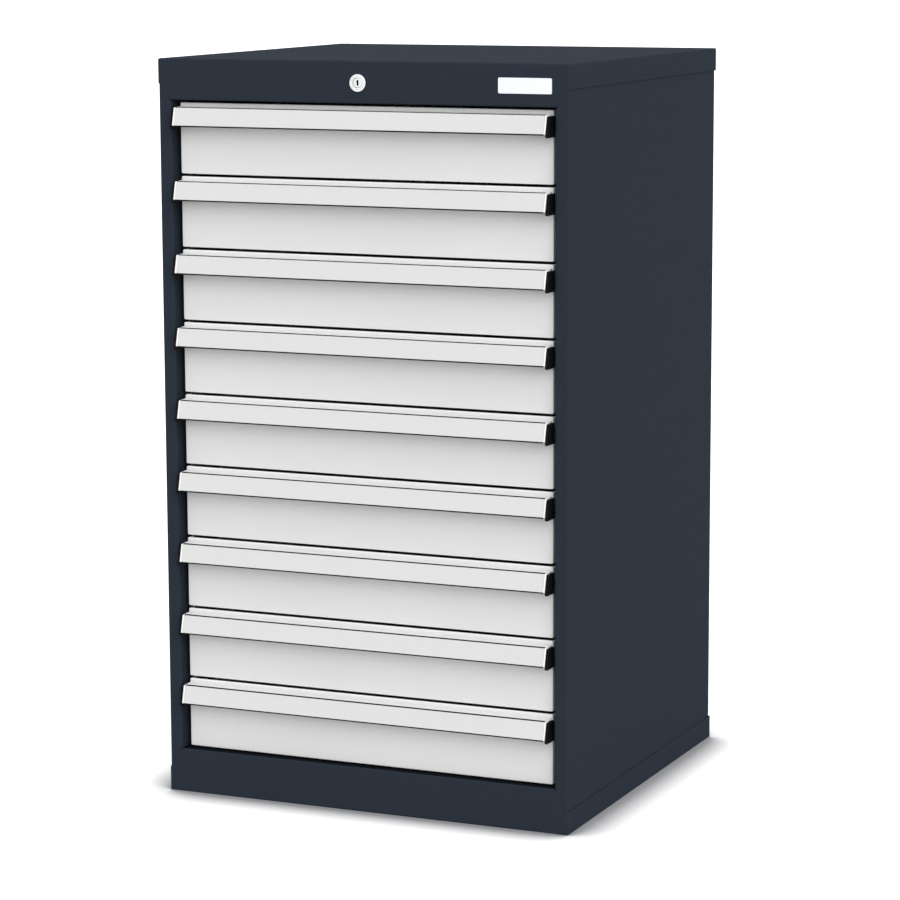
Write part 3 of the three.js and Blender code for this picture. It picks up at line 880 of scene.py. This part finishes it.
plug_end_y = front_y + plug_back_end
core = turned_body([
    (plug_high.x, plug_end_y), (plug_high.x, plug_low.y + plug_edge),
    (plug_high.x - plug_edge, plug_low.y),
], "y", lock_centre)
dish = prism(circle(dish_radius, lock_centre), "y", plug_low.y - overrun,
             plug_low.y + dish_depth)
key_hole = block(
    (-keyway_width / 2, plug_low.y - overrun, lock_height - keyway_height / 2),
    (keyway_width / 2, plug_low.y + keyway_depth, lock_height + keyway_height / 2),
)
tail = block((-tail_width / 2, plug_end_y - plug_edge, lock_height - tail_width / 2),
             (tail_width / 2, plug_end_y + tail_length, lock_height + tail_width / 2))
core = carved(carved(core, dish, key_hole), tail, operation="UNION")
piece("lock_core", broken(core, lock_edge), lock_chrome, "lock", "lock_plug")

shutter_x, shutter_z = shutter_wide * keyway_width, shutter_high * keyway_height
shutter = block((-shutter_x, plug_low.y + shutter_depth, lock_height - shutter_z),
                (shutter_x, plug_low.y + keyway_depth, lock_height + shutter_z))
piece("lock_shutter", broken(shutter, lock_edge), black_plastic, "lock")
for node, body in (("lock_nut", "cabinet"), ("lock_cam", "lock"), ("lock_bar", "lock_bar")):
    own_shape = broken(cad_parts[node].data.copy())
    piece(f"{node}_part", own_shape, zinc_steel, body, node)


# Plate on the header: a thin stamped plate of bare brushed metal with rounded corners and a
# narrow raised border, stuck on with its long side level. It carries nothing.
plate_corner = 0.002
plate_edge = 0.0003
plate_border = 0.0014
plate_recess = 0.00025
plate_light = (0.76, 0.78, 0.79, 1)
plate_dark = (0.62, 0.64, 0.66, 1)

plate_low, plate_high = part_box("blank_plate")


def brushed_metal(name):
    """Bare metal brushed along X: long fine scratches that change its tone, gloss and surface."""
    brush_scale, brush_depth, brush_strength = (30, 4000, 4000), 0.00002, 0.5
    cloud_scale, cloud_roughness, least_roughness = 25, 0.16, 0.26
    material, metal = new_material(name)
    place = metal.node("ShaderNodeTexCoord", output="Object")
    stretched = metal.node("ShaderNodeMapping", inputs={"Vector": place, "Scale": brush_scale})
    scratch = metal.noise(stretched, scale=1, detail=3)
    cloud = metal.noise(place, cloud_scale, detail=2)
    metal.surface({
        "Base Color": metal.blend(scratch, plate_dark, plate_light), "Metallic": 1,
        "Roughness": least_roughness + cloud_roughness * cloud,
        "Normal": metal.bump(scratch, brush_depth, brush_strength),
    })
    return material


def plate_body(inset, start, end):
    outline = rounded_box((plate_low.x + inset, plate_low.z + inset),
                          (plate_high.x - inset, plate_high.z - inset), plate_corner - inset)
    return prism(outline, "y", start, end)


pale_metal = brushed_metal("pale_metal")
plate = carved(
    plate_body(0, plate_low.y, plate_high.y),
    plate_body(plate_border, plate_low.y - overrun, plate_low.y + plate_recess),
)
piece("blank_plate_sheet", broken(plate, plate_edge), pale_metal, "cabinet", "blank_plate")


# Drawer trays: each is one folded sheet with a rolled hem round its rim, punched slots for
# dividers in its four walls and pressed beads that stiffen its floor. The inner rail of each
# slide and the lock's catch are welded on outside, and all is powder coated light grey.
tray_sheet = 0.001
tray_corner = 0.002
tray_fold = 0.0015
hem_width = 0.003
hem_radius = 0.0013
tray_rail_depth = 0.0085
tray_rail_half = 0.014
divider_slot = (0.003, 0.016)
divider_slot_drop = 0.025
divider_slot_pitch = 0.025
divider_end_room = 0.035
bead_width, bead_length, bead_height = 0.012, 0.44, 0.0016
bead_count = 6
bead_side_room = 0.05
bead_slope = 0.9
bead_round = 1.01
catch_reach = 0.006
catch_thickness = 0.004
catch_height = 0.010
catch_drop = 0.019
catch_gap = 0.002
tray_edge = 0.0002
drawer_colour = (0.71, 0.717, 0.708)
drawer_wear_and_highlight_colour = (0.90, 0.905, 0.90)

tray_low, tray_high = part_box("drawer_1_tray")
tray_half = tray_high.x - tray_rail_depth
drawer_paint = powder_coat("drawer_paint", drawer_colour, drawer_wear_and_highlight_colour,
                           roughness=0.55, shine=0.25)


def in_each_drawer(label, mesh, material, *nodes, rides=""):
    """Makes the same piece for all nine drawers, which rides on the drawer or on its slides."""
    for name, drop in drawers.items():
        stands_for = [f"{name}_{node}" for node in nodes]
        piece(f"{name}_{label}", raised(mesh, drop), material, name + rides, *stands_for)


def floor_bead(width, length, height, steps=4):
    """A long pressed bead along Y with round ends, whose foot is sunk half through the floor."""
    rings = []
    for step in range(-1, steps + 1):
        angle = max(step, 0) / steps * math.pi / 2
        inset = bead_slope * width / 2 * (1 - math.cos(angle))
        half_u, half_v = width / 2 - inset, length / 2 - inset
        outline = rounded_box((-half_u, -half_v), (half_u, half_v), half_u / bead_round, steps=5)
        level = height * math.sin(angle) if step >= 0 else -tray_sheet / 2
        rings.append([along("z", u, v, level) for u, v in outline])
    return tube_of(rings)


hem_bottom = tray_high.z - hem_width
tray = pan(
    [
        (tray_half / 2, tray_low.z), (0, tray_low.z, tray_fold), (0, tray_high.z, hem_radius),
        (hem_width, tray_high.z, hem_radius), (hem_width, hem_bottom, hem_radius / 2),
        (tray_sheet, hem_bottom), (tray_sheet, tray_low.z + tray_sheet, tray_fold - tray_sheet),
        (tray_half / 2, tray_low.z + tray_sheet),
    ],
    (-tray_half, tray_low.y), (tray_half, tray_high.y), "z", tray_corner,
)
slot_z = tray_high.z - divider_slot_drop
side_slots = int((tray_high.y - tray_low.y - 2 * divider_end_room) / divider_slot_pitch) + 1
end_slots = int((2 * tray_half - 2 * divider_end_room) / divider_slot_pitch) + 1
side_row_half = (side_slots - 1) * divider_slot_pitch / 2
end_row_half = (end_slots - 1) * divider_slot_pitch / 2
tray_middle = (tray_low.y + tray_high.y) / 2
side_slot = slot_tool(*divider_slot, 4 * tray_sheet, "x")
end_slot = slot_tool(*divider_slot, 4 * tray_sheet, "y")
divider_slots = [
    in_a_row(side_slot, (x, tray_middle - side_row_half, slot_z),
             (x, tray_middle + side_row_half, slot_z), side_slots, drawer_paint)
    for x in (-tray_half + tray_sheet / 2, tray_half - tray_sheet / 2)
] + [
    in_a_row(end_slot, (-end_row_half, y, slot_z), (end_row_half, y, slot_z), end_slots,
             drawer_paint)
    for y in (tray_low.y + tray_sheet / 2, tray_high.y - tray_sheet / 2)
]
bead_x = tray_half - bead_side_room
floor_beads = in_a_row(
    floor_bead(bead_width, bead_length, bead_height),
    (-bead_x, tray_middle, tray_low.z + tray_sheet), (bead_x, tray_middle, tray_low.z + tray_sheet),
    bead_count, drawer_paint,
)
tray = carved(carved(tray, *divider_slots), floor_beads, operation="UNION")
tray_rail = channel(tray_half - weld_sink, tray_high.x, tray_rail_half, first_rail_z, frame_low.y,
                    frame_high.y, drawer_paint)
catch_y = tab_y + tab_width + catch_gap
catch_top = front_high.z - catch_drop
catch = block((tray_half - tray_sheet / 2, catch_y, catch_top - catch_height),
              (tray_half + catch_reach, catch_y + catch_thickness, catch_top))
tray = broken(joined(tray, tray_rail, mirrored(tray_rail), catch), tray_edge)
in_each_drawer("tray_shell", tray, drawer_paint, "tray")


# Slides: the middle member of each telescopic slide is a channel of galvanised strip that rolls
# on hard steel balls, which sit in a thin cage along each flange. It moves half as far as the
# drawer does.
cage_inset = 0.0006
cage_depth = 0.006
cage_thickness = 0.0016
cage_end_room = 0.004
cage_gap = 0.0001
ball_radius = 0.00125
ball_inset = ball_radius / 3
ball_rings = 6
ball_steps = 8
ball_count = 22
ball_end_room = 0.012

slide_low, slide_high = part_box("drawer_1_right_slide")
member_half = (slide_high.z - slide_low.z) / 2
cage_top = member_half - rail_sheet - cage_gap
cage_x = slide_low.x + cage_inset
member = channel(slide_high.x, slide_low.x, member_half, first_rail_z, slide_low.y, slide_high.y,
                 zinc_steel)
cages = [
    block((cage_x, slide_low.y + cage_end_room, first_rail_z + low),
          (cage_x + cage_depth, slide_high.y - cage_end_room, first_rail_z + low + cage_thickness))
    for low in (cage_top - cage_thickness, -cage_top)
]
ball_angles = [math.pi * ring / ball_rings for ring in range(ball_rings + 1)]
ball = turned_body([(ball_radius * math.sin(angle), ball_radius * math.cos(angle))
                    for angle in ball_angles], "z", steps=ball_steps)
ball_x = cage_x + ball_inset
ball_z = cage_top - cage_thickness / 2
balls = joined(*[
    in_a_row(ball, (ball_x, slide_low.y + ball_end_room, first_rail_z + side * ball_z),
             (ball_x, slide_high.y - ball_end_room, first_rail_z + side * ball_z),
             ball_count, lock_chrome)
    for side in (-1, 1)
])
members = broken(joined(member, *cages))
members = joined(members, mirrored(members))
balls = broken(joined(balls, mirrored(balls)), 0)
in_each_drawer("slide_members", members, zinc_steel, "right_slide", "left_slide", rides="_slides")
in_each_drawer("slide_balls", balls, lock_chrome, rides="_slides")


# Drawer fronts: each is a shallow pan of folded sheet whose returns fold in again behind. Its
# upper edge is hemmed, and the return starts a step lower, so the gap above it looks black.
# It is powder coated light grey, with a painted highlight on its folds, and domed screws hold it
# from the tray.
front_sheet = 0.0012
front_fold = 0.0018
front_corner = 0.002
front_flange = 0.014
front_hem = 0.0024
front_step = 0.0045
fold_normal = 0.985
screw_radius = 0.0035
screw_dome = 0.0021
cross_width, cross_length, cross_depth = 0.0009, 0.0038, 0.0012
screw_count = 5
screw_side_room = 0.04
screw_height = 0.03
screw_edge = 0.00008

front_pan = pan(
    [
        (tray_half / 2, front_low.y), (0, front_low.y, front_fold),
        (0, front_high.y, front_fold), (front_flange, front_high.y),
        (front_flange, front_high.y - front_sheet),
        (front_sheet, front_high.y - front_sheet, front_fold - front_sheet),
        (front_sheet, front_low.y + front_sheet, front_fold - front_sheet),
        (tray_half / 2, front_low.y + front_sheet),
    ],
    (front_low.x, front_low.z), (front_high.x, front_high.z), "y", front_corner,
)
inner_half = front_high.x - front_sheet
step_z = front_high.z - front_step
behind_hem = block((-inner_half, front_low.y + front_hem, step_z),
                   (inner_half, front_high.y + overrun, front_high.z + overrun))
sunk_half, sunk_y = inner_half + weld_sink, front_low.y + front_sheet - weld_sink
hem = block((-sunk_half, sunk_y, step_z - front_sheet),
            (sunk_half, front_low.y + front_hem, front_high.z - front_sheet / 2))
low_return = block((-sunk_half, sunk_y, step_z - front_sheet),
                   (sunk_half, front_high.y - weld_sink, step_z - weld_sink))
front_pan = broken(carved(carved(front_pan, behind_hem), hem, low_return, operation="UNION"))
# The front's folds are marked pale as well: a painted highlight along its edges.
for face, mark in zip(front_pan.polygons, front_pan.attributes["broken_edge"].data):
    if max(abs(share) for share in face.normal) < fold_normal:
        mark.value = 1
screw = carved(
    dome(screw_radius, screw_dome, "y", 1),
    block((-cross_width / 2, screw_dome - cross_depth, -cross_length / 2),
          (cross_width / 2, 2 * screw_dome, cross_length / 2)),
    block((-cross_length / 2, screw_dome - cross_depth, -cross_width / 2),
          (cross_length / 2, 2 * screw_dome, cross_width / 2)),
)
screw_x = tray_half - screw_side_room
screws = broken(in_a_row(
    screw, (-screw_x, tray_low.y + tray_sheet, tray_low.z + screw_height),
    (screw_x, tray_low.y + tray_sheet, tray_low.z + screw_height), screw_count, zinc_steel,
), screw_edge)
in_each_drawer("front_pan", front_pan, drawer_paint, "front")
in_each_drawer("front_screws", screws, zinc_steel)


# Handles: each is a folded steel profile as wide as its drawer, fixed flat on the front, with a
# ledge over the fingers and a sloping face, and coated near white, with a painted highlight on
# its ends. A black carrier clips over the ledge and the lip, and holds a blank pale strip; its
# black hook on the ledge and bead at the lip are painted shade for the grooves there. A black
# moulded cap closes each end.
flange_drop = 0.025
ledge_drop = 0.005
crease_drop = 0.0058
crease_reach = 0.0088
lip_drop = 0.0306
profile_sheet = 0.002
face_sheet = 0.0012
channel_depth = 0.001
crease_radius = 0.0016
crease_overrun = 0.0003
hollow_start = 0.0015
hollow_radius = 0.001
ledge_radius = 0.002
lip_overrun = 0.0004
lip_radius = 0.0003
handle_edge = 0.0002
hook_length, hook_sheet = 0.0042, 0.0003
hook_radius, hook_root_radius = 0.0008, 0.0012
carrier_start = 0.0003
carrier_edge = 0.0001
bead_rise, bead_drop, bead_front, bead_back = 0.0010, 0.0006, 0.0003, 0.0019
front_radius, bead_radius, lap_radius = 0.0003, 0.0006, 0.0002
bead_lap = 0.0006
strip_thickness = 0.00045
strip_start = 0.0002
strip_edge = 0.0002
stop_start = 0.0004
stop_width = 0.0022
stop_gap = 0.0002
cap_seat = 0.0001
cap_thickness = 0.0038
cap_back_gap, cap_back_drop, cap_back_radius = 0.0002, 0.0073, 0.0008
cap_nose_reach, cap_nose_drop, cap_nose_radius = 0.0082, 0.0075, 0.0012
cap_lip_gap, cap_lip_drop, cap_lip_radius = 0.0001, 0.0335, 0.001
cap_foot_gap, cap_foot_drop = 0.0020, 0.0348
cap_edge = 0.0006
tongue_length, tongue_depth, tongue_height = 0.0046, 0.010, 0.012
tongue_gap = 0.0006
handle_colour = (0.86, 0.865, 0.855)
handle_wear_and_highlight_colour = (0.93, 0.935, 0.93)
strip_colours = ((0.635, 0.64, 0.632, 1), (0.695, 0.70, 0.692, 1))

handle_low, handle_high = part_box("drawer_1_handle")
first_top = front_high.z
handle_paint = powder_coat("handle_paint", handle_colour, handle_wear_and_highlight_colour,
                           roughness=0.5, shine=0.25)
strip_card = grained("strip_card", strip_colours, grain_scale=2600, roughness=0.5,
                     shine=0.25, grain_depth=0.00001)

crease = Vector((front_y - crease_reach, first_top - crease_drop))
lip = Vector((handle_low.y, first_top - lip_drop))
down_face = (lip - crease).normalized()
out_face = Vector((down_face.y, -down_face.x))
face_length = (lip - crease).length


def on_face(distance, depth, radius=0):
    """A point of the handle's section, by its distance down the face and its depth behind it."""
    return (*(crease + down_face * distance - out_face * depth), radius)


bead_start, bead_end = face_length - bead_rise, face_length + bead_drop
profile_back, lip_end = handle_high.y - profile_sheet, bead_start + lip_overrun
profile = rounded([
    (handle_high.y, first_top - flange_drop), (profile_back, first_top - flange_drop),
    (profile_back, first_top - ledge_drop - profile_sheet, hollow_radius),
    on_face(hollow_start, channel_depth + face_sheet, hollow_radius),
    on_face(lip_end, channel_depth + face_sheet, lip_radius),
    on_face(lip_end, channel_depth, lip_radius),
    on_face(-crease_overrun, channel_depth, crease_radius),
    (handle_high.y, first_top - ledge_drop, ledge_radius),
])
hook_top = first_top - crease_drop + 2 * hook_sheet
carrier = rounded([
    (crease.x + hook_length, hook_top, carrier_edge),
    (on_face(0, strip_thickness)[0], hook_top, hook_radius),
    on_face(bead_start, strip_thickness, carrier_edge),
    on_face(bead_start, bead_front, front_radius),
    on_face(bead_end, bead_front, bead_radius),
    on_face(bead_end, bead_back, bead_radius),
    on_face(bead_start + bead_lap, bead_back, lap_radius),
    on_face(bead_start + bead_lap, channel_depth - weld_sink, carrier_edge),
    on_face(carrier_start, channel_depth - weld_sink, hook_root_radius),
    (crease.x + hook_length, hook_top - hook_sheet, carrier_edge),
])
strip = rounded([
    on_face(strip_start, strip_thickness), on_face(bead_start, strip_thickness),
    on_face(bead_start, 0, strip_edge), on_face(strip_start, 0, strip_edge),
])
cap_back = front_low.y - cap_back_gap
cap_outline = rounded([
    (cap_back, first_top - cap_foot_drop, cap_back_radius),
    (cap_back, first_top - cap_back_drop, cap_back_radius),
    (front_y - cap_nose_reach, first_top - cap_nose_drop, cap_nose_radius),
    (handle_low.y + cap_lip_gap, first_top - cap_lip_drop, cap_lip_radius),
    (handle_low.y + cap_foot_gap, first_top - cap_foot_drop, cap_lip_radius),
])
stop_x, stop_back = handle_high.x - stop_width, channel_depth + weld_sink
stop = prism([on_face(*corner)[:2] for corner in (
    (stop_start, stop_back), (bead_start, stop_back), (bead_start, weld_sink),
    (stop_start, weld_sink),
)], "x", stop_x, handle_high.x)
handle = joined(prism(profile, "x", handle_low.x, handle_high.x), stop, mirrored(stop))
handle = broken(handle, handle_edge)
# The ends of the profile and its stops are marked pale: a painted highlight.
for face, mark in zip(handle.polygons, handle.attributes["broken_edge"].data):
    if abs(face.center.x) > stop_x:
        mark.value = 1
strip_half = stop_x - stop_gap
blank_strip = broken(prism(strip, "x", -strip_half, strip_half), carrier_edge)
# The carrier's black hook on the ledge and bead at the lip are painted shade: dark lines where the
# grooves are shaded.
strip_carrier = broken(prism(carrier, "x", -strip_half, strip_half), carrier_edge)
cap_start = handle_high.x + cap_seat
tongue_y, tongue_z = profile_back - tongue_gap, first_top - ledge_drop - profile_sheet - tongue_gap
cap = broken(prism(cap_outline, "x", cap_start, cap_start + cap_thickness), cap_edge)
tongue = broken(block(
    (cap_start - tongue_length, tongue_y - tongue_depth, tongue_z - tongue_height),
    (cap_start + cap_seat, tongue_y, tongue_z),
))
caps = joined(cap, tongue)
caps = joined(caps, mirrored(caps))
in_each_drawer("handle_profile", handle, handle_paint, "handle")
in_each_drawer("blank_strip", blank_strip, strip_card)
in_each_drawer("strip_carrier", strip_carrier, black_plastic)
in_each_drawer("end_caps", caps, black_plastic)
